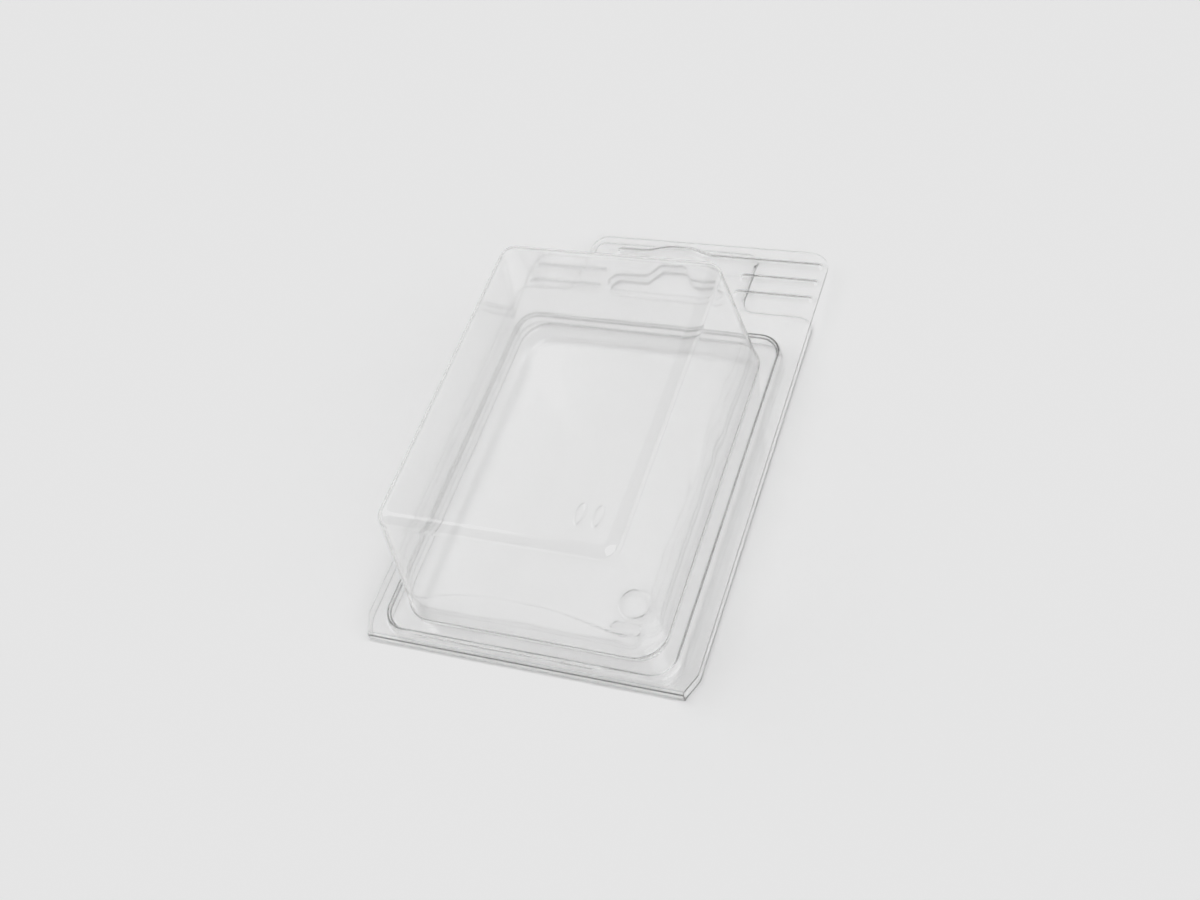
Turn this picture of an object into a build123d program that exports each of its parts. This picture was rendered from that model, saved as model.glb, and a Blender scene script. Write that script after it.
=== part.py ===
from build123d import *
import os
from math import radians, tan

# A clear clamshell pack, thermoformed from one plastic sheet and folded shut at its bottom hinge.
# It lies on its back. +Y runs from the hinge to the hang hole, +Z is up, towards the front.
# The origin is in the middle of the footprint, on the surface that the pack lies on.

# The folded sheet
overall_width = 84.0
overall_length = 133.4
sheet = 0.4
flange_gap = 2.4

# Edges, header and grip tabs
hinge_corner_run = 2.0
hinge_corner_rise = 5.5
hinge_corner_foot = 1.0
hinge_corner_radius = 3.0
hinge_foot_radius = 0.8
header_height = 20.4
shoulder_radius = 4.5
notch_radius = 3.0
tab_radius = 4.0
grip_radius = 6.0
front_tab_margin = 9.0
back_tab_margin = 5.5
back_grip_drop = 5.6
back_grip_radius = 2.5

# Hang hole
hole_width = 33.0
hole_slot_height = 5.7
hole_height = 10.2
hole_shoulder_margin = 1.4
hole_hump_base = 12.6
hole_hump_top = 7.2
hole_end_radius = 2.7
hole_hump_radius = 1.6

# Ribs of the header
rib_height = 0.9
rib_spacing = 5.8
rib_shoulder_margin = 4.0
rib_edge_margin = 2.5
rib_hole_margin = 4.0
rib_hump_base = 16.4
rib_hump_top = 7.6
rib_hump_rise = 2.0
rib_hump_radius = 5.0

# Step round the box of the front, and the ridge of the back that nests in it
step_height = 2.0
step_side_margin = 4.6
step_hinge_margin = 1.6
step_header_margin = 10.1
step_corner_radius = 6.5
step_draft = 12.0
ridge_clearance = 0.3

# Product box
box_depth = 37.7
box_side_margin = 4.4
box_hinge_margin = 4.2
box_far_margin = 4.0
box_corner_radius = 7.2
box_draft = 6.7
box_edge_radius = 2.5
bend_radius = 0.7

# Recessed panel of the back
panel_inset = 1.6
panel_draft = 16.0

# Raised moulding marks, plain shapes only
mark_height = 0.25
mark_line = 0.6
mark_ring = 8.4
mark_side_margin = 9.9
mark_hinge_margin = 14.6
mark_tab_width = 8.0
mark_tab_height = 3.4
mark_tab_gap = 2.6
mark_dot_width = 2.6
mark_dot_height = 3.8
mark_dot_spacing = 4.4
mark_dot_margin = 9.0
mark_dot_side_margin = 9.5

# Levels that follow from the sizes above
back_top = sheet
front_bottom = sheet + flange_gap
front_top = front_bottom + sheet
step_top = front_top + step_height
box_top = front_top + box_depth
ridge_top = step_top - sheet - ridge_clearance
hinge_y = -overall_length / 2
half_width = overall_width / 2
half_hinge = half_width - hinge_corner_run
half_hole = hole_width / 2
top_y = hinge_y + overall_length
shoulder_y = top_y - header_height

# Footprint of the step, the box and the panel, seen from above
step_width = overall_width - 2 * step_side_margin
step_length = overall_length - header_height - step_header_margin - step_hinge_margin
step_centre = hinge_y + step_hinge_margin + step_length / 2
box_width = step_width - 2 * box_side_margin
box_length = step_length - box_hinge_margin - box_far_margin
box_centre = step_centre + (box_hinge_margin - box_far_margin) / 2
panel_width = box_width - 2 * panel_inset
panel_length = box_length - 2 * panel_inset
panel_radius = box_corner_radius - panel_inset


def face_of(points, radii):
    """A flat face from corner points with a radius at each corner."""
    outline = FilletPolyline(points, radius=radii, close=True)
    return make_face(outline.edges())


def plate(points, radii, bottom, thickness):
    """A flat sheet with the given outline."""
    return extrude(Pos(0, 0, bottom) * face_of(points, radii), thickness)


def tapered(width, length, radius, centre, bottom, height, draft):
    """A rounded block whose walls lean in by the draft angle as they rise."""
    foot = Pos(0, centre, bottom) * RectangleRounded(width, length, radius)
    return extrude(foot, height, taper=draft)


def loops_at(body, level):
    """The edges of a body that lie wholly at one level."""
    return body.edges().filter_by_position(Axis.Z, level - sheet / 4, level + sheet / 4)


def capsule(path, radius):
    """A round bar with ball ends along a path."""
    start_plane = Plane(origin=path @ 0, z_dir=path % 0)
    bar = sweep(start_plane * Circle(radius), path=path)
    return bar + Pos(path @ 0) * Sphere(radius) + Pos(path @ 1) * Sphere(radius)


def hang_hole():
    """The slot with a hump that a display hook passes through, cut through both halves."""
    left, right = -half_hole, half_hole
    foot = shoulder_y + hole_shoulder_margin
    slot_top = foot + hole_slot_height
    hump_top = foot + hole_height
    points = [
        (left, foot),
        (right, foot),
        (right, slot_top),
        (hole_hump_base / 2, slot_top),
        (hole_hump_top / 2, hump_top),
        (-hole_hump_top / 2, hump_top),
        (-hole_hump_base / 2, slot_top),
        (left, slot_top),
    ]
    ends = hole_end_radius
    hump = hole_hump_radius
    radii = [ends, ends, ends, hump, hump, hump, hump, ends]
    return plate(points, radii, -sheet, front_top + 2 * sheet)


def front_outline():
    """Corners and radii of the front flange, with its top left corner notched."""
    notch = -half_hole - front_tab_margin
    corners = [
        (-half_hinge, hinge_y + sheet, 0),
        (half_hinge, hinge_y + sheet, 0),
        (half_hinge, hinge_y + hinge_corner_foot, hinge_foot_radius),
        (half_width, hinge_y + hinge_corner_rise, hinge_corner_radius),
        (half_width, top_y, grip_radius),
        (notch, top_y, tab_radius),
        (notch, shoulder_y, notch_radius),
        (-half_width, shoulder_y, shoulder_radius),
        (-half_width, hinge_y + hinge_corner_rise, hinge_corner_radius),
        (-half_hinge, hinge_y + hinge_corner_foot, hinge_foot_radius),
    ]
    return [corner[:2] for corner in corners], [corner[2] for corner in corners]


def back_outline():
    """Corners and radii of the back flange, with its top right corner notched."""
    notch = half_hole + back_tab_margin
    grip_side = -half_hole - front_tab_margin
    grip_top = top_y - back_grip_drop
    corners = [
        (-half_hinge, hinge_y, 0),
        (half_hinge, hinge_y, 0),
        (half_hinge, hinge_y + hinge_corner_foot, hinge_foot_radius),
        (half_width, hinge_y + hinge_corner_rise, hinge_corner_radius),
        (half_width, shoulder_y, shoulder_radius),
        (notch, shoulder_y, notch_radius),
        (notch, top_y, tab_radius),
        (grip_side, top_y, back_grip_radius),
        (grip_side, grip_top, back_grip_radius),
        (-half_width, grip_top, tab_radius),
        (-half_width, hinge_y + hinge_corner_rise, hinge_corner_radius),
        (-half_hinge, hinge_y + hinge_corner_foot, hinge_foot_radius),
    ]
    return [corner[:2] for corner in corners], [corner[2] for corner in corners]


def rib_place(number):
    """Place of a rib along Y, counted from the hinge side."""
    return shoulder_y + rib_shoulder_margin + number * rib_spacing


def grip_rib_path(number, side, level):
    """Centre line of a short rib on the grip tab: side 1 is the right, -1 the left."""
    y = rib_place(number)
    outer = side * (half_width - rib_edge_margin)
    inner = side * (half_hole + rib_hole_margin)
    return Line((inner, y, level), (outer, y, level))


def bridge_rib_path(level):
    """Centre line of the long rib that arches over the hang hole."""
    y = rib_place(2)
    high = y + rib_hump_rise
    points = [
        (-half_hole, y, level),
        (-rib_hump_base / 2, y, level),
        (-rib_hump_top / 2, high, level),
        (rib_hump_top / 2, high, level),
        (rib_hump_base / 2, y, level),
        (half_width - rib_edge_margin, y, level),
    ]
    return FilletPolyline(points, radius=rib_hump_radius)


def add_ribs(body, paths, level):
    """Presses hollow half-round ribs up out of a flat sheet whose underside is at the level."""
    reach = overall_length
    above = Pos(0, 0, level) * Box(
        2 * reach, 2 * reach, reach, align=(Align.CENTER, Align.CENTER, Align.MIN)
    )
    for path in paths:
        body += capsule(path, sheet + rib_height) & above
    for path in paths:
        body -= capsule(path, rib_height)
    return body


def panel_marks():
    """A plain ring and a rounded tab in raised lines, near the right corner of the back panel."""
    x = panel_width / 2 - mark_side_margin
    y = box_centre - panel_length / 2 + mark_hinge_margin
    ring = Circle(mark_ring / 2) - Circle(mark_ring / 2 - mark_line)
    tab_y = -mark_ring / 2 - mark_tab_gap
    tab_radius_outer = mark_tab_height / 2 - mark_line / 4
    tab_radius_inner = tab_radius_outer - mark_line
    tab = RectangleRounded(mark_tab_width, mark_tab_height, tab_radius_outer)
    tab -= RectangleRounded(
        mark_tab_width - 2 * mark_line, mark_tab_height - 2 * mark_line, tab_radius_inner
    )
    raised = extrude(Pos(x, y, back_top) * ring, mark_height)
    return raised + extrude(Pos(x, y + tab_y, back_top) * tab, mark_height)


def face_marks():
    """Two plain raised ovals, near the right corner of the front face."""
    lean = (box_top - step_top) * tan(radians(box_draft))
    x = box_width / 2 - lean - mark_dot_side_margin
    y = box_centre - box_length / 2 + lean + mark_dot_margin
    oval = Ellipse(mark_dot_width / 2, mark_dot_height / 2)
    oval -= Ellipse(mark_dot_width / 2 - mark_line, mark_dot_height / 2 - mark_line)
    left = Pos(x - mark_dot_spacing / 2, y, box_top) * oval
    right = Pos(x + mark_dot_spacing / 2, y, box_top) * oval
    return extrude(left, mark_height) + extrude(right, mark_height)


def make_front():
    """The front half: flange and header, the step, and the tall product box."""
    outline, radii = front_outline()
    flange = plate(outline, radii, front_bottom, sheet)
    step_rise = step_top - front_bottom
    step = tapered(
        step_width, step_length, step_corner_radius, step_centre, front_bottom, step_rise, step_draft
    )
    box = tapered(
        box_width, box_length, box_corner_radius, box_centre, step_top, box_top - step_top, box_draft
    )
    box = fillet(loops_at(box, box_top), box_edge_radius)
    outer = flange + step + box
    outer = fillet(loops_at(outer, step_top), bend_radius)
    outer = add_ribs(
        outer,
        [
            grip_rib_path(0, 1, front_bottom),
            grip_rib_path(1, 1, front_bottom),
            bridge_rib_path(front_bottom),
        ],
        front_bottom,
    )
    step_hollow = tapered(
        step_width - 2 * sheet,
        step_length - 2 * sheet,
        step_corner_radius - sheet,
        step_centre,
        front_bottom,
        step_rise - sheet,
        step_draft,
    )
    box_hollow = tapered(
        box_width - 2 * sheet,
        box_length - 2 * sheet,
        box_corner_radius - sheet,
        box_centre,
        step_top - sheet,
        box_top - step_top,
        box_draft,
    )
    box_hollow = fillet(loops_at(box_hollow, box_top - sheet), box_edge_radius - sheet)
    hollow = fillet(
        loops_at(step_hollow + box_hollow, step_top - sheet), bend_radius - sheet / 2
    )
    return outer - hollow - hang_hole() + face_marks()


def make_back():
    """The back half: flange and header, the hinge web, the nesting ridge and the flat panel."""
    outline, radii = back_outline()
    flange = plate(outline, radii, 0, sheet)
    web = Pos(0, hinge_y, 0) * Box(
        2 * half_hinge, sheet, front_top, align=(Align.CENTER, Align.MIN, Align.MIN)
    )
    lean = tan(radians(step_draft))
    foot_margin = sheet + ridge_clearance - front_bottom * lean
    ridge_width = step_width - 2 * foot_margin
    ridge_length = step_length - 2 * foot_margin
    ridge_radius = step_corner_radius - foot_margin
    ridge = tapered(
        ridge_width, ridge_length, ridge_radius, step_centre, 0, ridge_top, step_draft
    )
    pocket = tapered(
        panel_width, panel_length, panel_radius, box_centre, back_top, ridge_top, -panel_draft
    )
    ridge = fillet(loops_at(ridge - pocket, ridge_top), bend_radius)
    ring_hollow = tapered(
        ridge_width - 2 * sheet,
        ridge_length - 2 * sheet,
        ridge_radius - sheet,
        step_centre,
        0,
        ridge_top - sheet,
        step_draft,
    )
    core = tapered(
        panel_width + 2 * sheet,
        panel_length + 2 * sheet,
        panel_radius + sheet,
        box_centre,
        0,
        ridge_top,
        -panel_draft,
    )
    body = flange + web + ridge
    body = add_ribs(body, [grip_rib_path(0, -1, 0), grip_rib_path(1, -1, 0)], 0)
    return body - (ring_hollow - core) - hang_hole() + panel_marks()


def main():
    os.makedirs("parts", exist_ok=True)
    pieces = {"front_shell": make_front(), "back_shell": make_back()}
    for name, piece in pieces.items():
        export_step(piece, f"parts/{name}.step")
        print(name, round(piece.volume), "cubic mm")


main()
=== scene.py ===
# %% [markdown]
# # A clear clamshell blister pack
#
# The real pack is one sheet of clear plastic, about 0.4 mm thick. It is heated, sucked down over a mould
# and cut out, and then folded shut at a thin hinge along its bottom edge. The back half is nearly flat,
# with a ridge that nests in the front half. The front half carries a tall, slightly tapered box.
#
# Nothing on it has a colour. All that the eye sees is bent and mirrored light, so the lesson is mostly
# about the sheet's own form: its thickness, the radius of each bend, and how the walls wander between
# the corners.

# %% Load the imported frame
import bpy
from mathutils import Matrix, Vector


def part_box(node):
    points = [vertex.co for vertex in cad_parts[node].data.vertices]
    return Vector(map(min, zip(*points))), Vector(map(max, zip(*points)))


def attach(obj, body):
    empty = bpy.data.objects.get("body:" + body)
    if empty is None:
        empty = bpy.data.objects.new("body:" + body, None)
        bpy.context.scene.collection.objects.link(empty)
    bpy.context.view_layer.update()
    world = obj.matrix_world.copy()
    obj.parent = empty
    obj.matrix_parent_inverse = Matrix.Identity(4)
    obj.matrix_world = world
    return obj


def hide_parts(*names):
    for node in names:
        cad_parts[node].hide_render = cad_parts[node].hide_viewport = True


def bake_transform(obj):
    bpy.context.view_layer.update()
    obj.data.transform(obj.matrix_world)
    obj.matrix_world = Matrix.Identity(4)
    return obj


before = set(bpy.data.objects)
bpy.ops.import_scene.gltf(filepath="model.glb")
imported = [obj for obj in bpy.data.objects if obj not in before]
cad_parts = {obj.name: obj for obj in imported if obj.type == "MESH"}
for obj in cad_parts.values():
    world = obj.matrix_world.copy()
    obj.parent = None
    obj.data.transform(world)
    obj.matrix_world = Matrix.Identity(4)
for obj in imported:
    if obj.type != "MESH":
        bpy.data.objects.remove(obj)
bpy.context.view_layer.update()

from math import atan2, ceil, cos, pi, radians, sin, tan

import bmesh
import bpy
import numpy as np
from mathutils import Matrix, Vector
from mathutils.geometry import delaunay_2d_cdt

scene = bpy.context.scene
mm = 0.001

# %% [markdown]
# ## Sizes
#
# The frame knows how wide, long and tall the pack is, so those sizes are read from it. The others
# describe one feature each, such as a margin or a bend, and are named once. Every length is in metres,
# so a size in millimetres is written as a number times `mm`. Levels end in `middle` where they say how
# high the middle of the sheet lies, because every surface below is first made there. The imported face
# has marks on it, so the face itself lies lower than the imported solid's top by the height of a mark.

# %% Read the main sizes from the frame
back_low, back_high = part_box("back_shell")
front_low, front_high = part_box("front_shell")
sheet = 0.4 * mm
cad_mark_height = 0.25 * mm
hinge_y = back_low.y
top_y = back_high.y
half_width = (back_high.x - back_low.x) / 2
back_middle = back_low.z + sheet / 2
front_middle = front_low.z + sheet / 2
face_middle = front_high.z - cad_mark_height - sheet / 2
print(f"pack {2000 * half_width:.1f} mm wide, face {1000 * face_middle:.1f} mm above the floor")

# %% Name the header, the grip tabs and the hinge
shoulder_y = top_y - 20.4 * mm
seam_y = hinge_y + 0.8 * mm
chamfer_y = hinge_y + 5.5 * mm
half_hinge = half_width - 2.0 * mm
half_hole = 16.5 * mm
front_tab_x = -half_hole - 9.0 * mm
back_tab_x = half_hole + 5.5 * mm
grip_top_y = top_y - 5.6 * mm
print(f"the header is {1000 * (top_y - shoulder_y):.1f} mm high")

# %% Name the step, the box, the ridge and the panel
draft = radians(12.0)
step_half = Vector((37.4, 50.65)) * mm
step_centre_y = hinge_y + 52.25 * mm
step_radius = 6.5 * mm
step_foot = front_low.z
step_middle = front_middle + 2.0 * mm
box_draft = radians(6.7)
box_half = Vector((33.0, 46.55)) * mm
box_centre_y = hinge_y + 52.35 * mm
box_radius = 7.9 * mm
box_foot = step_middle + sheet / 2
ridge_middle = 4.3 * mm
ridge_inset = 0.105 * mm
panel_draft = radians(16.0)
panel_half = Vector((31.4, 44.95)) * mm
panel_radius = 5.6 * mm
print(f"the box is {2000 * box_half.x:.1f} mm by {2000 * box_half.y:.1f} mm at its foot")

# %% [markdown]
# ## Round corners
#
# A moulded sheet has no sharp corner anywhere: each one has its own radius. A Bevel modifier could round
# a mesh afterwards, but the parts below are joined along exact rings of points, which have to be known
# beforehand. So one helper rounds every path in this file, whether it is the outline of a flange seen
# from above or the section of a wall seen from the side. It takes corner points with a radius each and
# returns points along straight runs and arcs.

# %% A helper that rounds one corner
bend_step = radians(11)


def corner_arc(before, place, after, radius, arc_step):
    """Points of the arc that rounds the corner between two straight runs."""
    to_last = (before - place).normalized()
    to_next = (after - place).normalized()
    half = to_last.angle(to_next) / 2
    middle = place + (to_last + to_next).normalized() * radius / sin(half)
    start = place + to_last * radius / tan(half) - middle
    turn = pi - 2 * half
    if to_last.x * to_next.y - to_last.y * to_next.x > 0:
        turn = -turn
    steps = max(2, ceil(abs(turn) / arc_step))
    first = atan2(start.y, start.x)
    angles = [first + turn * k / steps for k in range(steps + 1)]
    return [middle + radius * Vector((cos(a), sin(a))) for a in angles]


print("a square corner takes", ceil(pi / 2 / bend_step), "steps")

# %% A helper that rounds a whole path
def rounded(corners, closed, spacing, arc_step=bend_step):
    """Points along a path of (x, y, radius) corners, with straight runs cut to the spacing."""
    places = [Vector(corner[:2]) for corner in corners]
    count = len(places)
    arcs = []
    for i, (place, corner) in enumerate(zip(places, corners)):
        at_end = not closed and i in (0, count - 1)
        if at_end or corner[2] == 0:
            arcs.append([place])
        else:
            after = places[(i + 1) % count]
            arcs.append(corner_arc(places[i - 1], place, after, corner[2], arc_step))
    points = []
    for i, arc in enumerate(arcs):
        points += arc
        if closed or i < count - 1:
            a, b = arc[-1], arcs[(i + 1) % count][0]
            cuts = max(1, ceil((b - a).length / spacing))
            points += [a.lerp(b, k / cuts) for k in range(1, cuts)]
    return np.array([tuple(point) for point in points])


plate = rounded([(0, 0, 1), (4, 0, 1), (4, 4, 1), (0, 4, 1)], True, 1)
print("a plate with four round corners takes", len(plate), "points")

# %% [markdown]
# ## Flat areas as a fine net
#
# The flanges, the face and the panel are flat, but they get ribs and marks pressed into them later, so
# they can't be one big face. A Delaunay net fills any outline, leaves out its holes and takes extra
# points where detail is coming. Subdividing a plain face would put the points in the wrong places.
#
# Points exactly in line are hard for such a net: it may or may not put a sliver of no width along them.
# So the net is worked out on a copy whose straight runs bulge by a hair, and then given the true places.

# %% Helpers that measure points against a path
def is_inside(points, loop):
    """Which points lie inside a closed loop, by counting the edges that a ray crosses."""
    x, y = points[:, :1], points[:, 1:2]
    x1, y1 = loop[:, 0], loop[:, 1]
    x2, y2 = np.roll(loop, -1, axis=0).T
    rise = np.where(y2 == y1, 1.0, y2 - y1)
    crosses = ((y1 > y) != (y2 > y)) & (x < (x2 - x1) * (y - y1) / rise + x1)
    return crosses.sum(axis=1) % 2 == 1


def distance_to(points, path):
    """How far each point is from the nearest point of a path."""
    gaps = points[:, None, :] - path[None, :, :]
    return np.sqrt((gaps**2).sum(axis=2)).min(axis=1)


def bulged(points):
    """Points in millimetres, moved so that no straight run stays quite straight."""
    x, y = points[:, 0] / mm, points[:, 1] / mm
    hair = 1e-6
    return np.stack([x * (1 - hair * y * y), y * (1 - hair * x * x)], axis=1)


plate_middle = np.array([(2.0, 2.0)])
print("the plate's middle is inside it:", bool(is_inside(plate_middle, plate)[0]))

# %% A helper that scatters the points of a net
border_share = 0.55


def net_points(outline, holes, spacing, detail):
    """Points of a triangular grid that are clear of the outline, the holes and the detail."""
    low, high = outline.min(axis=0), outline.max(axis=0)
    grid = []
    for number, y in enumerate(np.arange(low[1], high[1], spacing * sin(pi / 3))):
        shift = spacing / 2 * (number % 2)
        grid += [(x, y) for x in np.arange(low[0] + shift, high[0], spacing)]
    points = np.array(grid)
    points = points[is_inside(points, outline)]
    for hole in holes:
        points = points[~is_inside(points, hole)]
    for loop in [outline] + holes:
        points = points[distance_to(points, loop) > spacing * border_share]
    for extra, clear in detail:
        points = points[distance_to(points, extra) > clear]
    return points


print("a net for the plate has", len(net_points(plate, [], 0.5, [])), "points inside")

# %% A helper that fills an outline with a net
net_spacing = 2.4 * mm
same_within = 1e-7


def net(outline, holes, level, detail=()):
    """A flat net of triangles inside an outline: detail holds (points, clear distance) pairs."""
    loops = [outline] + holes
    edges = []
    start = 0
    for loop in loops:
        edges += [(start + k, start + (k + 1) % len(loop)) for k in range(len(loop))]
        start += len(loop)
    points = net_points(outline, holes, net_spacing, detail)
    every = np.concatenate(loops + [points] + [extra for extra, clear in detail])
    near = bulged(every)
    made = delaunay_2d_cdt([Vector(p) for p in near], edges, [], 0, same_within)
    faces, sources = np.array(made[2]), made[3]
    first = np.array([source[0] for source in sources])
    faces = first[faces]
    centres = near[faces].mean(axis=1)
    kept = is_inside(centres, bulged(outline))
    for hole in holes:
        kept &= ~is_inside(centres, bulged(hole))
    mesh = bpy.data.meshes.new("net")
    mesh.from_pydata([(x, y, level) for x, y in every], [], faces[kept].tolist())
    print("net of", len(mesh.polygons), "triangles")
    return mesh


print(f"a net's points are about {net_spacing / mm:.1f} mm apart")

# %% [markdown]
# ## Node trees from a script
#
# Two kinds of shape on this pack follow a rule: the walls that run round a rounded rectangle, and every
# rib, bead or mark that is pressed up out of the sheet. Each kind gets a Geometry Nodes tree with named
# inputs, so that a size can be changed without touching a vertex. These helpers build a tree, run it on
# a mesh and keep the result as a plain mesh, because other programs can't read a live tree.

# %% Helpers that add to a tree
def add(tree, kind, inputs, **settings):
    """A node with its settings made and its inputs linked to sockets or set to values."""
    node = tree.nodes.new(kind)
    for key, value in settings.items():
        setattr(node, key, value)
    for key, value in inputs.items():
        if isinstance(value, bpy.types.NodeSocket):
            tree.links.new(value, node.inputs[key])
        else:
            node.inputs[key].default_value = value
    return node


def calculate(tree, operation, *values):
    """The result of a Math node."""
    return add(tree, "ShaderNodeMath", dict(enumerate(values)), operation=operation).outputs[0]


trial = bpy.data.node_groups.new("trial", "GeometryNodeTree")
calculate(trial, "ADD", 2.0, 3.0)
print("a trial tree has", len(trial.nodes), "node")
bpy.data.node_groups.remove(trial)

# %% Helpers that begin and end a tree
def new_tree(name, inputs):
    """A geometry tree with the named inputs, and its input and output nodes."""
    tree = bpy.data.node_groups.new(name, "GeometryNodeTree")
    tree.interface.new_socket("Geometry", in_out="INPUT", socket_type="NodeSocketGeometry")
    for label, kind in inputs.items():
        tree.interface.new_socket(label, in_out="INPUT", socket_type="NodeSocket" + kind)
    tree.interface.new_socket("Geometry", in_out="OUTPUT", socket_type="NodeSocketGeometry")
    return tree, tree.nodes.new("NodeGroupInput"), tree.nodes.new("NodeGroupOutput")


def end_tree(tree, geometry, material, group_out):
    """Ends a tree in real geometry with a material, because an export drops instances."""
    real = add(tree, "GeometryNodeRealizeInstances", {"Geometry": geometry}).outputs[0]
    finish = add(tree, "GeometryNodeSetMaterial", {"Geometry": real, "Material": material})
    tree.links.new(finish.outputs[0], group_out.inputs[0])
    print("tree", tree.name, "with", len(tree.nodes), "nodes")


def input_names(tree):
    """The names of a tree's inputs."""
    return [socket.name for socket in tree.interface.items_tree if socket.in_out == "INPUT"]


trial, trial_start, trial_end = new_tree("trial", {"Material": "Material"})
end_tree(trial, trial_start.outputs["Geometry"], trial_start.outputs["Material"], trial_end)
print("its inputs are", input_names(trial))
bpy.data.node_groups.remove(trial)

# %% Helpers that run a tree on a mesh
def plain_mesh(holder):
    """What an object's modifiers make of its mesh, as a mesh of its own."""
    ready = holder.evaluated_get(bpy.context.evaluated_depsgraph_get())
    return bpy.data.meshes.new_from_object(ready)


def run_tree(tree, mesh, values):
    """The plain mesh that a tree makes of a mesh, with its inputs set by their identifiers."""
    holder = bpy.data.objects.new("holder", mesh)
    scene.collection.objects.link(holder)
    modifier = holder.modifiers.new("tree", "NODES")
    modifier.node_group = tree
    for socket in tree.interface.items_tree:
        if socket.in_out == "INPUT" and socket.name in values:
            modifier[socket.identifier] = values[socket.name]
    result = plain_mesh(holder)
    holder.modifiers.remove(modifier)
    bpy.data.objects.remove(holder)
    return result


def guide(name, points, edges):
    """A line that a tree reads through an object."""
    mesh = bpy.data.meshes.new(name)
    mesh.from_pydata([tuple(p) for p in points], edges, [])
    line = bpy.data.objects.new(name, mesh)
    scene.collection.objects.link(line)
    return line


trial_line = guide("trial line", [(0, 0, 0), (mm, 0, 0)], [(0, 1)])
print("a line without a tree keeps its", len(plain_mesh(trial_line).vertices), "points")
bpy.data.objects.remove(trial_line)

# %% [markdown]
# ## The clear sheet
#
# The sheet is PET, which bends light more than window glass does. A see-through mix or alpha would leave
# out the bending, and bending is all that shows here, so the sheet is a real transmitting one. It has no
# colour of its own, but each pass takes a trace of the light. Its surface isn't perfect either: it has a
# faint ripple from the mould and long streaks where the walls were drawn down. Both go in as a bump far
# too small to see by itself. It only makes the lines of light waver, which tells plastic from glass.
#
# Where the die has cut the sheet, the edge is frosted. The same plastic with a rough surface gives that:
# a polished edge would pipe light like a glass pane's and draw hard black lines round the pack.

# %% Make the clear plastic and its cut edge
clear_tint = (0.99, 0.99, 0.99, 1)
pet_ior = 1.57
ripple_scale = 120.0
streak_scale = 260.0
streak_stretch = (1.0, 1.0, 0.12)
streak_share = 0.35
bump_depth = 0.008 * mm
polished = 0.05
frosted = 0.45


def clear_plastic(name, roughness):
    """Clear PET with a faint ripple and long streaks."""
    material = bpy.data.materials.new(name)
    material.use_nodes = True
    tree = material.node_tree
    shader = tree.nodes["Principled BSDF"]
    shader.inputs["Base Color"].default_value = clear_tint
    shader.inputs["Transmission Weight"].default_value = 1.0
    shader.inputs["IOR"].default_value = pet_ior
    shader.inputs["Roughness"].default_value = roughness
    place = add(tree, "ShaderNodeTexCoord", {}).outputs["Object"]
    drawn = add(tree, "ShaderNodeMapping", {"Vector": place, "Scale": streak_stretch}).outputs[0]
    ripple_inputs = {"Vector": place, "Scale": ripple_scale, "Detail": 1.0}
    ripple = add(tree, "ShaderNodeTexNoise", ripple_inputs).outputs[0]
    streak_inputs = {"Vector": drawn, "Scale": streak_scale, "Detail": 2.0}
    streaks = add(tree, "ShaderNodeTexNoise", streak_inputs).outputs[0]
    both = calculate(tree, "MULTIPLY_ADD", streaks, streak_share, ripple)
    bump = add(tree, "ShaderNodeBump", {"Height": both, "Strength": 1.0, "Distance": bump_depth})
    tree.links.new(bump.outputs[0], shader.inputs["Normal"])
    return material


plastic = clear_plastic("clear_sheet", polished)
cut_edge = clear_plastic("cut_edge", frosted)
print("materials", plastic.name, "and", cut_edge.name)

# %% [markdown]
# ## Walls that run round a rounded rectangle
#
# The step, the box, the ridge and the panel's edge are all the same kind of thing: a section that runs
# round a rounded rectangle. A sweep along a curve would fold over itself inside the small corners. So
# the plan is kept as a bare rectangle without its corner radius, with a direction at each point, and the
# section says how far out from it each row lies. The radius then shrinks as the wall leans in, as it
# does on the mould.
#
# The real walls aren't true either. The hot sheet pulls tight between the corners, so the long sides bow
# a little, and they wander as they cool. The plan's points carry how free they are to do that, and so do
# the section's. A slow noise, with its seed as an input, does the wandering.

# %% Parts of the tree for formed walls
def counted_grid(tree, plan, section):
    """A grid with a column for each plan point and one to close it, and each point's row and column."""
    columns = add(tree, "GeometryNodeAttributeDomainSize", {"Geometry": plan}).outputs["Point Count"]
    rows = add(tree, "GeometryNodeAttributeDomainSize", {"Geometry": section}).outputs["Point Count"]
    around = calculate(tree, "ADD", columns, 1.0)
    grid = add(tree, "GeometryNodeMeshGrid", {"Vertices X": around, "Vertices Y": rows}).outputs[0]
    index = add(tree, "GeometryNodeInputIndex", {}).outputs[0]
    row = calculate(tree, "MODULO", index, rows)
    whole = calculate(tree, "FLOOR", calculate(tree, "DIVIDE", index, rows))
    return grid, row, calculate(tree, "MODULO", whole, columns)


def sampled(tree, geometry, value, index):
    """A vector as it is at one numbered point of a geometry."""
    inputs = {"Geometry": geometry, "Value": value, "Index": index}
    return add(tree, "GeometryNodeSampleIndex", inputs, data_type="FLOAT_VECTOR").outputs["Value"]


def wandering(tree, group, spot, freedom, reach):
    """A reach with the bow and a slow noise added, as far as the point is free to move."""
    inputs = {"Vector": spot, "W": group.outputs["Seed"], "Scale": group.outputs["Wander Scale"]}
    noise = add(tree, "ShaderNodeTexNoise", inputs, noise_dimensions="4D").outputs[0]
    centred = calculate(tree, "SUBTRACT", noise, 0.5)
    swing = calculate(tree, "MULTIPLY_ADD", centred, group.outputs["Wander"], group.outputs["Bow"])
    return calculate(tree, "MULTIPLY_ADD", swing, freedom, reach)


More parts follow.
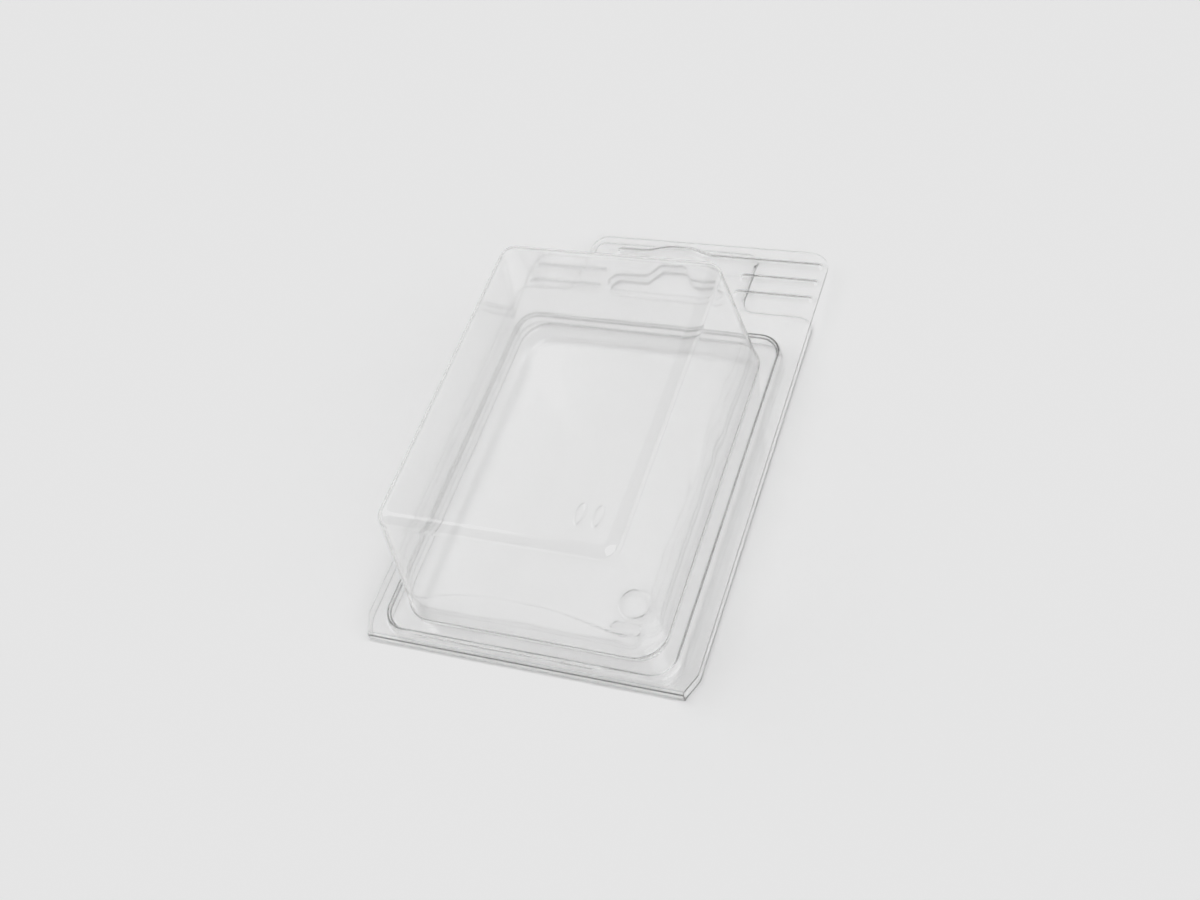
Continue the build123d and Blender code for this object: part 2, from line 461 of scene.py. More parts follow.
trial_inputs = dict.fromkeys(("Seed", "Wander Scale", "Wander", "Bow"), "Float")
trial, trial_start, trial_end = new_tree("trial", trial_inputs)
wandering(trial, trial_start, (0, 0, 0), 1.0, 1.0)
print("the wandering takes", len(trial.nodes) - 2, "nodes")
bpy.data.node_groups.remove(trial)

# %% Build the tree for formed walls
close_within = 0.001 * mm


def wall_tree():
    """The tree that makes walls of two lines of points, a plan and a section."""
    inputs = {"Plan": "Object", "Section": "Object", "Bow": "Float", "Wander": "Float"}
    inputs |= {"Wander Scale": "Float", "Seed": "Float", "Material": "Material"}
    tree, group, out = new_tree("formed walls", inputs)
    plan = add(tree, "GeometryNodeObjectInfo", {"Object": group.outputs["Plan"]}).outputs["Geometry"]
    section = add(tree, "GeometryNodeObjectInfo", {"Object": group.outputs["Section"]}).outputs["Geometry"]
    grid, row, column = counted_grid(tree, plan, section)
    place = add(tree, "GeometryNodeInputPosition", {}).outputs[0]
    named = add(tree, "GeometryNodeInputNamedAttribute", {"Name": "outward"}, data_type="FLOAT_VECTOR")
    base = add(tree, "ShaderNodeSeparateXYZ", {0: sampled(tree, plan, place, column)}).outputs
    profile = add(tree, "ShaderNodeSeparateXYZ", {0: sampled(tree, section, place, row)}).outputs
    outward = sampled(tree, plan, named.outputs[0], column)
    spot = add(tree, "ShaderNodeCombineXYZ", {0: base[0], 1: base[1], 2: profile[2]}).outputs[0]
    freedom = calculate(tree, "MULTIPLY", base[2], profile[1])
    reach = wandering(tree, group, spot, freedom, profile[0])
    shift = add(tree, "ShaderNodeVectorMath", {0: outward, "Scale": reach}, operation="SCALE").outputs[0]
    final = add(tree, "ShaderNodeVectorMath", {0: spot, 1: shift}, operation="ADD").outputs[0]
    placed = add(tree, "GeometryNodeSetPosition", {"Geometry": grid, "Position": final}).outputs[0]
    same_place = {"Geometry": placed, "Distance": close_within}
    closed = add(tree, "GeometryNodeMergeByDistance", same_place).outputs[0]
    end_tree(tree, closed, group.outputs["Material"], out)
    return tree


walls = wall_tree()
print("its inputs are", input_names(walls))

# %% A helper that lays out a plan
wide_side_steps = 36
long_side_steps = 46
corner_steps = 10


def plan_of(half, radius, centre_y):
    """Points of a rectangle without its corner radius, as (x, y, freedom), and their directions."""
    a, b = half.x - radius, half.y - radius
    corners = [Vector((a, -b)), Vector((a, b)), Vector((-a, b)), Vector((-a, -b))]
    points, directions = [], []
    for number, corner in enumerate(corners):
        start = (number - 1) * pi / 2
        for k in range(corner_steps + 1):
            turn = start + pi / 2 * k / corner_steps
            points.append((corner.x, centre_y + corner.y, 0.0))
            directions.append((cos(turn), sin(turn), 0.0))
        steps = wide_side_steps if number % 2 else long_side_steps
        for k in range(1, steps):
            here = corner.lerp(corners[(number + 1) % 4], k / steps)
            points.append((here.x, centre_y + here.y, sin(pi * k / steps)))
            directions.append((cos(start + pi / 2), sin(start + pi / 2), 0.0))
    return points, directions


square_plan = plan_of(Vector((2.0, 2.0)), 1.0, 0.0)
print("every plan has", len(square_plan[0]), "points, whatever its size")

# %% Helpers that lay out a section
def section_of(corners, radius, spacing, free, arc_step=bend_step):
    """Rows of a section, as (reach, freedom, level), from (inset, level, bend radius) corners."""
    run = rounded(corners, False, spacing, arc_step)
    low, high = free
    share = np.clip((run[:, 1] - low) / (high - low), 0, 1)
    freedom = np.sin(pi * share)
    freedom[0] = freedom[-1] = 0.0
    return [(radius - inset, f, level) for (inset, level), f in zip(run, freedom)]


def lean_in(level, foot, angle):
    """How far a leaning wall's middle lies inside its outer foot."""
    return (level - foot) * tan(angle) + sheet / 2 / cos(angle)


def ring_of(plan, section, row):
    """The loop that one row of a section makes round a plan."""
    points, directions = np.array(plan[0]), np.array(plan[1])
    return points[:, :2] + directions[:, :2] * section[row][0]


square_ring = ring_of(square_plan, [(1.0, 0.0, 0.0)], 0)
print("a ring round that plan reaches from", square_ring.min(axis=0), "to", square_ring.max(axis=0))

# %% A helper that forms walls
def formed(plan, section, bow=0.0, wander=0.0, scale=60.0, seed=0.0):
    """The walls that a section makes round a plan, as a mesh."""
    count = len(plan[0])
    plan_line = guide("plan", plan[0], [(k, (k + 1) % count) for k in range(count)])
    layer = plan_line.data.attributes.new("outward", "FLOAT_VECTOR", "POINT")
    layer.data.foreach_set("vector", np.array(plan[1], np.float32).ravel())
    section_line = guide("section", section, [(k, k + 1) for k in range(len(section) - 1)])
    values = {"Plan": plan_line, "Section": section_line, "Bow": bow, "Wander": wander}
    values |= {"Wander Scale": scale, "Seed": seed, "Material": plastic}
    result = run_tree(walls, bpy.data.meshes.new("walls"), values)
    for line in (plan_line, section_line):
        bpy.data.objects.remove(line)
    print("walls of", len(result.polygons), "faces")
    return result


square_walls = formed(square_plan, [(1.0, 0.0, 0.0), (0.9, 0.0, 1.0)])
print("those walls have", len(square_walls.vertices), "points")
bpy.data.meshes.remove(square_walls)

# %% [markdown]
# ## Lines pressed up out of the sheet
#
# Ribs stiffen the grips, beads snap the halves together, and the mould leaves small raised marks. On the
# real pack they are all the same sheet, stretched over a groove in the mould, so adding bars on top would
# be wrong: seen through clear plastic, the flat sheet would still show beneath them. This tree lifts the
# sheet itself, by how near each point is to a line.

# %% Build the tree that presses lines up
def press_tree():
    """The tree that moves a surface in one direction, smoothly, near the edges of a line object."""
    inputs = {"Lines": "Object", "Height": "Float", "Half Width": "Float", "Direction": "Vector"}
    inputs |= {"Material": "Material"}
    tree, group, out = new_tree("pressed lines", inputs)
    lines = add(tree, "GeometryNodeObjectInfo", {"Object": group.outputs["Lines"]}).outputs["Geometry"]
    near = add(tree, "GeometryNodeProximity", {0: lines}, target_element="EDGES").outputs["Distance"]
    ends = {"Value": near, "From Max": group.outputs["Half Width"]}
    ends |= {"To Min": group.outputs["Height"], "To Max": 0.0}
    rise = add(tree, "ShaderNodeMapRange", ends, interpolation_type="SMOOTHSTEP").outputs[0]
    direction = group.outputs["Direction"]
    lift = add(tree, "ShaderNodeVectorMath", {0: direction, "Scale": rise}, operation="SCALE").outputs[0]
    pressed = add(tree, "GeometryNodeSetPosition", {"Geometry": group.outputs[0], "Offset": lift})
    end_tree(tree, pressed.outputs[0], group.outputs["Material"], out)
    return tree


press = press_tree()
print("its inputs are", input_names(press))

# %% A helper that presses lines up
def press_lines(mesh, paths, height, half_width, direction=(0, 0, 1)):
    """A mesh with lines pressed up out of it: each path is a list of (x, y, z) points."""
    points, edges = [], []
    for path in paths:
        start = len(points)
        points += path
        edges += [(start + k, start + k + 1) for k in range(len(path) - 1)]
    lines = guide("lines", points, edges)
    values = {"Lines": lines, "Height": height, "Half Width": half_width}
    values |= {"Direction": direction, "Material": plastic}
    result = run_tree(press, mesh, values)
    bpy.data.objects.remove(lines)
    return result


def at_level(paths, level):
    """Plan paths lifted to a level."""
    return [[(x, y, level) for x, y in path] for path in paths]


print("a path of one point, lifted to 3:", at_level([[(1, 2)]], 3))

# %% A helper that thickens the net along a line
def band(path, half_width, across, along):
    """Points for the net on both sides of a path, so that what is pressed along it is smooth."""
    runs = np.diff(path, axis=0)
    lengths = np.sqrt((runs**2).sum(axis=1))
    places = np.concatenate([[0.0], np.cumsum(lengths)])
    steps = max(2, round(places[-1] / along))
    at = np.linspace(0, places[-1], steps + 1)
    centre = np.stack([np.interp(at, places, path[:, k]) for k in (0, 1)], axis=1)
    ahead = np.gradient(centre, axis=0)
    ahead /= np.sqrt((ahead**2).sum(axis=1))[:, None]
    side = np.stack([-ahead[:, 1], ahead[:, 0]], axis=1)
    offsets = np.linspace(-half_width, half_width, 2 * ceil(half_width / across) + 1)
    return np.concatenate([centre + side * offset for offset in offsets])


trial_band = band(np.array([(0.0, 0.0), (4.0, 0.0)]), 1.0, 1.0, 1.0)
print("a band 4 long and 2 wide, with points 1 apart, has", len(trial_band), "points")

# %% [markdown]
# ## From a surface to a sheet with two sides
#
# Every part below is first made as the middle surface of the sheet. Joining the parts and merging their
# shared edges gives one surface without seams. Solidify then gives it its thickness, half to each side,
# and closes the cut edge, which it gives the second material. Light needs that thickness: a single
# surface would bend every ray the wrong way.

# %% A helper that joins surfaces
merge_within = 0.005 * mm


def joined(name, meshes):
    """One mesh of several, with the points that they share merged and its faces turned one way."""
    work = bmesh.new()
    for mesh in meshes:
        work.from_mesh(mesh)
        bpy.data.meshes.remove(mesh)
    bmesh.ops.remove_doubles(work, verts=work.verts, dist=merge_within)
    bmesh.ops.recalc_face_normals(work, faces=work.faces)
    result = bpy.data.meshes.new(name)
    work.to_mesh(result)
    work.free()
    print(name, "joined from", len(meshes), "meshes")
    return result


print(f"points closer than {merge_within / mm:.3f} mm become one")

# %% Helpers that give a surface its thickness
crisp_angle = radians(50)


def faced_outwards(mesh):
    """Turns a closed mesh's faces outwards; returns its volume and its number of open edges."""
    work = bmesh.new()
    work.from_mesh(mesh)
    if work.calc_volume(signed=True) < 0:
        bmesh.ops.reverse_faces(work, faces=work.faces)
    volume = work.calc_volume(signed=True)
    open_edges = sum(1 for edge in work.edges if len(edge.link_faces) != 2)
    work.to_mesh(mesh)
    work.free()
    return volume, open_edges


def thickened(name, mesh):
    """An object with a closed sheet round a middle surface, and its cut edges left crisp."""
    mesh.materials.append(cut_edge)
    holder = bpy.data.objects.new(name, mesh)
    scene.collection.objects.link(holder)
    solid = holder.modifiers.new("thickness", "SOLIDIFY")
    solid.thickness = sheet
    solid.material_offset_rim = 1
    solid.offset = 0.0
    solid.use_even_offset = True
    plain = plain_mesh(holder)
    holder.modifiers.remove(solid)
    holder.data = plain
    volume, open_edges = faced_outwards(plain)
    plain.shade_smooth()
    plain.set_sharp_from_angle(angle=crisp_angle)
    print(name, len(plain.polygons), "faces,", round(volume / mm**3), "cubic mm,", open_edges, "open edges")
    return holder


print(f"the sheet is {sheet / mm:.1f} mm thick")

# %% [markdown]
# ## Outlines of the flanges
#
# Both halves are cut to the same width, with a grip at the top: the front's is on the right and the
# back's on the left. Each half is notched where the other one's grip is, so a thumb finds each by
# itself. At the hinge the corners are cut off at a slant, because the fold is a little shorter than the
# pack is wide. A curve drawn by hand could hold such an outline as well, but in a list of corners each
# one follows a named size.

# %% Lay out the front flange
chamfer_radius = 3.0 * mm
notch_radius = 3.0 * mm
shoulder_radius = 4.5 * mm
tab_radius = 4.0 * mm
top_corner_radius = 6.0 * mm
front_outline = rounded([
    (-half_hinge, seam_y, 0),
    (half_hinge, seam_y, 0),
    (half_width, chamfer_y, chamfer_radius),
    (half_width, top_y, top_corner_radius),
    (front_tab_x, top_y, tab_radius),
    (front_tab_x, shoulder_y, notch_radius),
    (-half_width, shoulder_y, shoulder_radius),
    (-half_width, chamfer_y, chamfer_radius),
], True, net_spacing)
print("front outline of", len(front_outline), "points")

# %% Lay out the back flange
stub_radius = 2.5 * mm
back_outline = rounded([
    (-half_hinge, seam_y, 0),
    (half_hinge, seam_y, 0),
    (half_width, chamfer_y, chamfer_radius),
    (half_width, shoulder_y, shoulder_radius),
    (back_tab_x, shoulder_y, notch_radius),
    (back_tab_x, top_y, tab_radius),
    (front_tab_x, top_y, stub_radius),
    (front_tab_x, grip_top_y, stub_radius),
    (-half_width, grip_top_y, tab_radius),
    (-half_width, chamfer_y, chamfer_radius),
], True, net_spacing)
print("back outline of", len(back_outline), "points")

# %% [markdown]
# ## The hang hole
#
# The hole is the kind that a shop's display hook passes through: a wide slot with a hump at the middle
# of its upper edge, where a single wire finds its place. It goes through both halves. Cutting it with a
# Boolean would leave long thin faces round it, so it is a hole in the net from the start.

# %% Lay out the hang hole
hole_foot_y = shoulder_y + 1.4 * mm
slot_top_y = hole_foot_y + 5.7 * mm
hump_top_y = hole_foot_y + 10.2 * mm
slot_radius = 2.7 * mm
hump_radius = 1.6 * mm
hump_foot_x = 6.3 * mm
hump_top_x = 3.6 * mm
hole_spacing = 1.2 * mm
hang_hole = rounded([
    (-half_hole, hole_foot_y, slot_radius),
    (half_hole, hole_foot_y, slot_radius),
    (half_hole, slot_top_y, slot_radius),
    (hump_foot_x, slot_top_y, hump_radius),
    (hump_top_x, hump_top_y, hump_radius),
    (-hump_top_x, hump_top_y, hump_radius),
    (-hump_foot_x, slot_top_y, hump_radius),
    (-half_hole, slot_top_y, slot_radius),
], True, hole_spacing)
print("hang hole of", len(hang_hole), "points")

# %% [markdown]
# ## Ribs of the grips
#
# Each grip has ribs so that it doesn't slip or fold under a thumb. The front's top rib runs on over the
# hang hole and rises in an arch above its hump, which stiffens the strip that the pack hangs from. The
# net gets rows of close points along each rib, out past its ends, so that the ends come out round.

# %% Lay out the ribs
rib_outer_x = half_width - 2.5 * mm
rib_inner_x = half_hole + 4.0 * mm
rib_rows = [shoulder_y + 4.0 * mm + number * 5.8 * mm for number in range(3)]
rib_height = 0.8 * mm
rib_half_width = 1.55 * mm
arch_y = rib_rows[2] + 2.0 * mm
arch_foot_x = 9.0 * mm
arch_top_x = 3.2 * mm
arch_foot_radius = 8.0 * mm
arch_top_radius = 10.0 * mm
arch_spacing = 2.0 * mm
arch = rounded([
    (-half_hole, rib_rows[2], 0),
    (-arch_foot_x, rib_rows[2], arch_foot_radius),
    (-arch_top_x, arch_y, arch_top_radius),
    (arch_top_x, arch_y, arch_top_radius),
    (arch_foot_x, rib_rows[2], arch_foot_radius),
    (rib_outer_x, rib_rows[2], 0),
], False, arch_spacing)
front_ribs = [np.array([(rib_inner_x, y), (rib_outer_x, y)]) for y in rib_rows[:2]] + [arch]
back_ribs = [np.array([(-rib_outer_x, y), (-rib_inner_x, y)]) for y in rib_rows[:2]]
print(len(front_ribs), "ribs on the front,", len(back_ribs), "on the back")

# %% Thicken the net along the ribs
rib_across = 0.2 * mm
rib_along = 0.45 * mm
rib_clear = 1.0 * mm
rib_band_share = 1.1


def rib_detail(ribs):
    """Net points along the ribs, out past their round ends."""
    detail = []
    for rib in ribs:
        ahead = (rib[-1] - rib[-2]) / np.linalg.norm(rib[-1] - rib[-2])
        behind = (rib[0] - rib[1]) / np.linalg.norm(rib[0] - rib[1])
        start = rib[0] + behind * rib_half_width
        end = rib[-1] + ahead * rib_half_width
        longer = np.concatenate([[start], rib, [end]])
        points = band(longer, rib_half_width * rib_band_share, rib_across, rib_along)
        detail.append((points, rib_clear))
    return detail


front_rib_detail = rib_detail(front_ribs)
back_rib_detail = rib_detail(back_ribs)
print(sum(len(points) for points, clear in front_rib_detail), "points along the front's ribs")

# %% [markdown]
# ## The front half's walls
#
# From the outside in, the front half is a flange, a low step, a flat ledge and the tall box. Each wall's
# section is a few corners with a bend radius: tight at the top of the step, where the sheet was pulled
# over the mould's edge, and soft at its foot. The box's upper bend is the widest and catches most light,
# so it is cut into the finest steps. The apron is a bit of flange that each wall brings along, so that
# its foot can be rounded.
#
# A wall is free to wander between two levels, most of all halfway. The step's freedom ends at its own
# foot and top. The box's begins below its foot, so that the foot wanders a little too.

# %% Form the step
apron = 0.5 * mm
foot_bend = 0.8 * mm
step_top_bend = 0.35 * mm
ledge_margin = 0.9 * mm
step_spacing = 0.3 * mm
step_plan = plan_of(step_half, step_radius, step_centre_y)
step_top_inset = lean_in(step_middle, step_foot, draft)
step_section = section_of([
    (-apron, front_middle, 0),
    (lean_in(front_middle, step_foot, draft), front_middle, foot_bend),
    (step_top_inset, step_middle, step_top_bend),
    (step_top_inset + ledge_margin, step_middle, 0),
], step_radius, step_spacing, (front_middle, step_middle))
step_walls = formed(step_plan, step_section, wander=0.5 * mm, seed=3.0)
print(f"the step is {(step_middle - front_middle) / mm:.1f} mm high")

# %% Form the box
box_apron = 1.2 * mm
box_foot_bend = 0.75 * mm
face_bend = 2.9 * mm
face_margin = 2.7 * mm
box_spacing = 0.6 * mm
fine_bend_step = radians(4)
free_from = step_middle - 5.0 * mm
box_plan = plan_of(box_half, box_radius, box_centre_y)
face_inset = lean_in(face_middle, box_foot, box_draft)
box_section = section_of([
    (-box_apron, step_middle, 0),
    (lean_in(step_middle, box_foot, box_draft), step_middle, box_foot_bend),
    (face_inset, face_middle, face_bend),
    (face_inset + face_margin, face_middle, 0),
], box_radius, box_spacing, (free_from, face_middle), fine_bend_step)
box_walls = formed(box_plan, box_section, bow=-0.45 * mm, wander=1.1 * mm, scale=45.0, seed=7.0)
print(f"the box is {(face_middle - step_middle) / mm:.1f} mm high above the step")

# %% [markdown]
# ## Marks of the face
#
# The real face carries two small signs in its near right corner. Here they are plain ovals, raised by
# less than a tenth of a millimetre. A bump in the material could show them too, but then the exported
# shape would be without them, so they are pressed out of the sheet like the ribs.

# %% Lay out the marks of the face
mark_line = 0.6 * mm
mark_half_width = 0.45 * mm
mark_across = 0.15 * mm
mark_along = 0.25 * mm
mark_clear = 0.5 * mm
face_mark_height = 0.085 * mm
oval_half = Vector((1.25, 3.0)) * mm
oval_radii = oval_half - Vector((1, 1)) * mark_line / 2
oval_insets = (10.4 * mm, 6.2 * mm)
face_corner = Vector((box_half.x - face_inset, box_centre_y - box_half.y + face_inset))
oval_y = face_corner.y + 9.2 * mm


def closed_oval(centre_x, centre_y, radii, steps):
    """A closed path round an oval, as plan points."""
    turns = np.linspace(0, 2 * pi, steps + 1)
    return np.array([(centre_x + radii.x * cos(t), centre_y + radii.y * sin(t)) for t in turns])


def mark_detail(paths):
    """Net points along the lines of marks."""
    return [(band(path, mark_half_width, mark_across, mark_along), mark_clear) for path in paths]


ovals = [closed_oval(face_corner.x - inset, oval_y, oval_radii, 32) for inset in oval_insets]
print(len(ovals), "ovals", f"{2000 * oval_half.y:.1f} mm tall")

# %% [markdown]
# ## Joining the front half
#
# The real half has no seams, because it is one sheet. Each wall begins and ends in a ring of points, and
# the flange, the ledge and the face are nets whose borders are the same rings. So their points fall
# together and merge into one surface, and only then are the ribs and marks pressed out of it. A Boolean
# union of thick parts would leave seams, and every seam shows in clear plastic.

# %% Join the front half
step_foot_ring = ring_of(step_plan, step_section, 0)
step_top_ring = ring_of(step_plan, step_section, -1)
box_foot_ring = ring_of(box_plan, box_section, 0)
face_ring = ring_of(box_plan, box_section, -1)
flange = net(front_outline, [step_foot_ring, hang_hole], front_middle, front_rib_detail)
ledge = net(step_top_ring, [box_foot_ring], step_middle)
face = net(face_ring, [], face_middle, mark_detail(ovals))
front_surface = joined("front_surface", [flange, step_walls, ledge, box_walls, face])
front_surface = press_lines(front_surface, at_level(front_ribs, front_middle), rib_height, rib_half_width)
oval_paths = at_level(ovals, face_middle)
front_surface = press_lines(front_surface, oval_paths, face_mark_height, mark_half_width)
print("ribs and ovals pressed out of", len(front_surface.polygons), "faces")

# %% [markdown]
# ## Snap beads
#
# A pack of this kind holds shut because a low bead on the ridge clicks behind one on the step. They run
# along the near and the far wall, where they show as dark streaks with soft ends. Both halves get them
# from the same lines, pressed outwards rather than up, so that they lie one behind the other.

# %% Press the snap beads into the front half
bead_level = step_foot + 1.35 * mm
bead_height = 0.2 * mm
bead_half_width = 0.9 * mm
bead_steps = 24
near_bead_x = (-28.0 * mm, 18.5 * mm)
far_bead_x = (-28.0 * mm, 28.0 * mm)


def bead_path(half, y_side, ends_x):
    """A line along the near or far wall of the step or the ridge."""
    y = step_centre_y + y_side * (half.y - (bead_level - step_foot) * tan(draft))
    return [(x, y, bead_level) for x in np.linspace(*ends_x, bead_steps)]


def with_beads(mesh, half):
    """The surface with both snap beads pressed outwards."""
    near = bead_path(half, -1, near_bead_x)
    far = bead_path(half, 1, far_bead_x)
    mesh = press_lines(mesh, [near], bead_height, bead_half_width, (0, -1, 0))
    return press_lines(mesh, [far], bead_height, bead_half_width, (0, 1, 0))


front_surface = with_beads(front_surface, step_half)
print(f"beads {1000 * bead_height:.1f} mm high")

# %% [markdown]
# ## The draw line
#
# A faint curved line runs across the near wall. It is taken to be where the hot sheet first touched the
# mould and cooled a moment early. A line drawn on the wall would look like ink. Pressed out by a quarter
# of a millimetre, it shows only as a thin waver of light. Its points are places on the wall, given as
# millimetres from the middle and above the floor.

# %% Press the draw line into the near wall and finish the front half
draw_line_height = 0.26 * mm
draw_line_half_width = 0.8 * mm
draw_line_places = (
    (-24.0, 14.0), (-20.0, 16.0), (-14.0, 17.4), (-7.0, 18.1), (0.0, 18.4),
    (7.0, 18.0), (13.0, 16.9), (19.0, 15.3), (24.0, 13.9), (28.0, 13.6),
)


def on_near_wall(x, level):
    """The point of the box's near wall at a width and a level."""
    return (x, box_centre_y - box_half.y + lean_in(level, box_foot, box_draft), level)


draw_line = [on_near_wall(x * mm, level * mm) for x, level in draw_line_places]
near_wards = (0, -1, 0)
front_surface = press_lines(front_surface, [draw_line], draw_line_height, draw_line_half_width, near_wards)
front_sheet = thickened("front_sheet", front_surface)
print("the draw line runs through", len(draw_line), "points")

# %% [markdown]
# ## The back half's ridge and panel
#
# The back half's ridge follows the inside of the step with a little play, and its wall wanders with the
# same seed as the step's, so that the two keep clear of each other. Inside the ridge a second wall leads
# down again to the panel, which lies flat on the table. Its section leans the other way, so its insets
# are negative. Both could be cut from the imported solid, but its walls are true and its bends sharper.

# %% Form the ridge
ridge_top_bend = 0.5 * mm
ridge_spacing = 0.4 * mm
ridge_half = Vector((step_half.x - ridge_inset, step_half.y - ridge_inset))
ridge_radius = step_radius - ridge_inset
ridge_plan = plan_of(ridge_half, ridge_radius, step_centre_y)
ridge_top_inset = lean_in(ridge_middle, 0, draft)
ridge_section = section_of([
    (-apron, back_middle, 0),
    (lean_in(back_middle, 0, draft), back_middle, foot_bend),
    (ridge_top_inset, ridge_middle, ridge_top_bend),
    (ridge_top_inset + ledge_margin, ridge_middle, 0),
], ridge_radius, ridge_spacing, (back_middle, ridge_middle))
ridge_walls = formed(ridge_plan, ridge_section, wander=0.5 * mm, seed=3.0)
print(f"the ridge is {(ridge_middle - back_middle) / mm:.1f} mm high")

# %% Form the wall round the panel
def panel_inset(level):
    """How far the middle of the panel's wall lies inside the panel's outline: always negative."""
    return -(level - sheet) * tan(panel_draft) - sheet / 2 / cos(panel_draft)


panel_top_bend = 1.1 * mm
panel_foot_bend = 1.5 * mm
panel_apron = 1.5 * mm
panel_spacing = 0.5 * mm
panel_plan = plan_of(panel_half, panel_radius, box_centre_y)
panel_section = section_of([
    (panel_inset(ridge_middle) - ledge_margin, ridge_middle, 0),
    (panel_inset(ridge_middle), ridge_middle, panel_top_bend),
    (panel_inset(back_middle), back_middle, panel_foot_bend),
    (panel_inset(back_middle) + panel_apron, back_middle, 0),
], panel_radius, panel_spacing, (back_middle, ridge_middle))
panel_walls = formed(panel_plan, panel_section, wander=0.9 * mm, seed=5.0)
print(f"the panel is {2 * panel_half.x / mm:.1f} mm by {2 * panel_half.y / mm:.1f} mm")

# %% [markdown]
# ## Marks of the panel
#
# The panel carries a round sign with a short line of letters below it. Here they are a plain ring and a
# plain tab with round ends, pressed out in the same way. They are seen through one more layer of sheet,
# so they stand a little higher than the face's.

# %% Lay out the marks of the panel
panel_mark_height = 0.12 * mm
ring_centre = Vector((panel_half.x - 10.4 * mm, box_centre_y - panel_half.y + 14.6 * mm))
ring_radius = 4.2 * mm - mark_line / 2
mark_ring = closed_oval(ring_centre.x, ring_centre.y, Vector((1, 1)) * ring_radius, 48)
tab_y = ring_centre.y - 6.8 * mm
tab_half = Vector((4.0, 1.7)) * mm - Vector((1, 1)) * mark_line / 2
tab_end_radius = 1.1 * mm
tab_spacing = 0.5 * mm
mark_tab = rounded([
    (ring_centre.x + side_x * tab_half.x, tab_y + side_y * tab_half.y, tab_end_radius)
    for side_x, side_y in ((-1, -1), (1, -1), (1, 1), (-1, 1))
], True, tab_spacing)
mark_tab = np.concatenate([mark_tab, mark_tab[:1]])
panel_marks = [mark_ring, mark_tab]
print("marks of", [len(path) for path in panel_marks], "points")

# %% [markdown]
# ## The turned edge
#
# Behind the front's ribs the back half ends in a straight edge, and there the cut sheet curls up a
# little. It shows as a dark upright line across the ribs. A Simple Deform would bend the whole half, so
# this edge is pressed up like a rib. The line lies on the edge itself, so only one side of the rise is
# there, and the net gets its close points on that side alone.

# %% Lay out the turned edge
turned_edge_height = 0.7 * mm
turned_edge_half_width = 1.4 * mm
edge_band_inset = 0.75 * mm
edge_band_half_width = 0.6 * mm
edge_across = 0.2 * mm
edge_along = 0.6 * mm
edge_clear = 0.8 * mm
edge_ends_y = (shoulder_y + 3.2 * mm, top_y - 4.5 * mm)
turned_edge = np.array([(back_tab_x, y) for y in np.linspace(*edge_ends_y, 12)])
edge_band = band(turned_edge - (edge_band_inset, 0), edge_band_half_width, edge_across, edge_along)
edge_detail = [(edge_band, edge_clear)]
print(f"turned edge {1000 * (edge_ends_y[1] - edge_ends_y[0]):.1f} mm long")

# %% [markdown]
# ## Joining the back half
#
# The back half is joined in the same way as the front half, from five surfaces that share their rings.
# Its marks and ribs are pressed upwards, towards the front half, so that nothing stands out below.

# %% Join and finish the back half
ridge_foot_ring = ring_of(ridge_plan, ridge_section, 0)
ridge_top_ring = ring_of(ridge_plan, ridge_section, -1)
panel_top_ring = ring_of(panel_plan, panel_section, 0)
panel_ring = ring_of(panel_plan, panel_section, -1)
back_detail = back_rib_detail + edge_detail
back_flange = net(back_outline, [ridge_foot_ring, hang_hole], back_middle, back_detail)
ridge_top = net(ridge_top_ring, [panel_top_ring], ridge_middle)
panel = net(panel_ring, [], back_middle, mark_detail(panel_marks))
back_surface = joined("back_surface", [back_flange, ridge_walls, ridge_top, panel_walls, panel])
back_surface = press_lines(back_surface, at_level(back_ribs, back_middle), rib_height, rib_half_width)
mark_paths = at_level(panel_marks, back_middle)
back_surface = press_lines(back_surface, mark_paths, panel_mark_height, mark_half_width)
back_surface = with_beads(back_surface, ridge_half)
edge_paths = at_level([turned_edge], back_middle)
back_surface = press_lines(back_surface, edge_paths, turned_edge_height, turned_edge_half_width)
back_sheet = thickened("back_sheet", back_surface)
print("the back's ribs, marks and turned edge are", len(back_ribs + panel_marks + edge_paths), "paths")

# %% [markdown]
# ## The living hinge
#
# Between the halves the sheet runs on as a narrow channel along the bottom edge. It is the part that bends
# when the pack opens; here it is put on neither body and keeps its shut shape. It is a plain grid of a
# section repeated along the edge. A hair's gap at each seam keeps its cut edge off the flanges'.

# %% Bend the hinge channel
hinge_gap = 0.03 * mm
hinge_bend = 0.5 * mm
hinge_spacing = 0.3 * mm
hinge_column_count = 61
hinge_section = rounded([
    (seam_y - hinge_gap, back_middle, 0),
    (hinge_y + sheet / 2, back_middle, hinge_bend),
    (hinge_y + sheet / 2, front_middle, hinge_bend),
    (seam_y - hinge_gap, front_middle, 0),
], False, hinge_spacing)
hinge_columns = np.linspace(-half_hinge, half_hinge, hinge_column_count)
hinge_points = [(x, y, z) for x in hinge_columns for y, z in hinge_section]
rows = len(hinge_section)
hinge_faces = [
    (c * rows + r, c * rows + r + 1, (c + 1) * rows + r + 1, (c + 1) * rows + r)
    for c in range(len(hinge_columns) - 1) for r in range(rows - 1)
]
hinge_mesh = bpy.data.meshes.new("hinge_surface")
hinge_mesh.from_pydata(hinge_points, [], hinge_faces)
hinge_mesh.materials.append(plastic)
living_hinge = thickened("living_hinge", hinge_mesh)
print(f"the hinge is {2 * half_hinge / mm:.1f} mm long")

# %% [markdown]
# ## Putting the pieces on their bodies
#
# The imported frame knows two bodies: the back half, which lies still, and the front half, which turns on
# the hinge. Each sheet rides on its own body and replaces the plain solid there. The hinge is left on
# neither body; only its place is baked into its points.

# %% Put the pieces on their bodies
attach(front_sheet, "front_half")
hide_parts("front_shell")
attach(back_sheet, "back_half")
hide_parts("back_shell")
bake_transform(living_hinge)

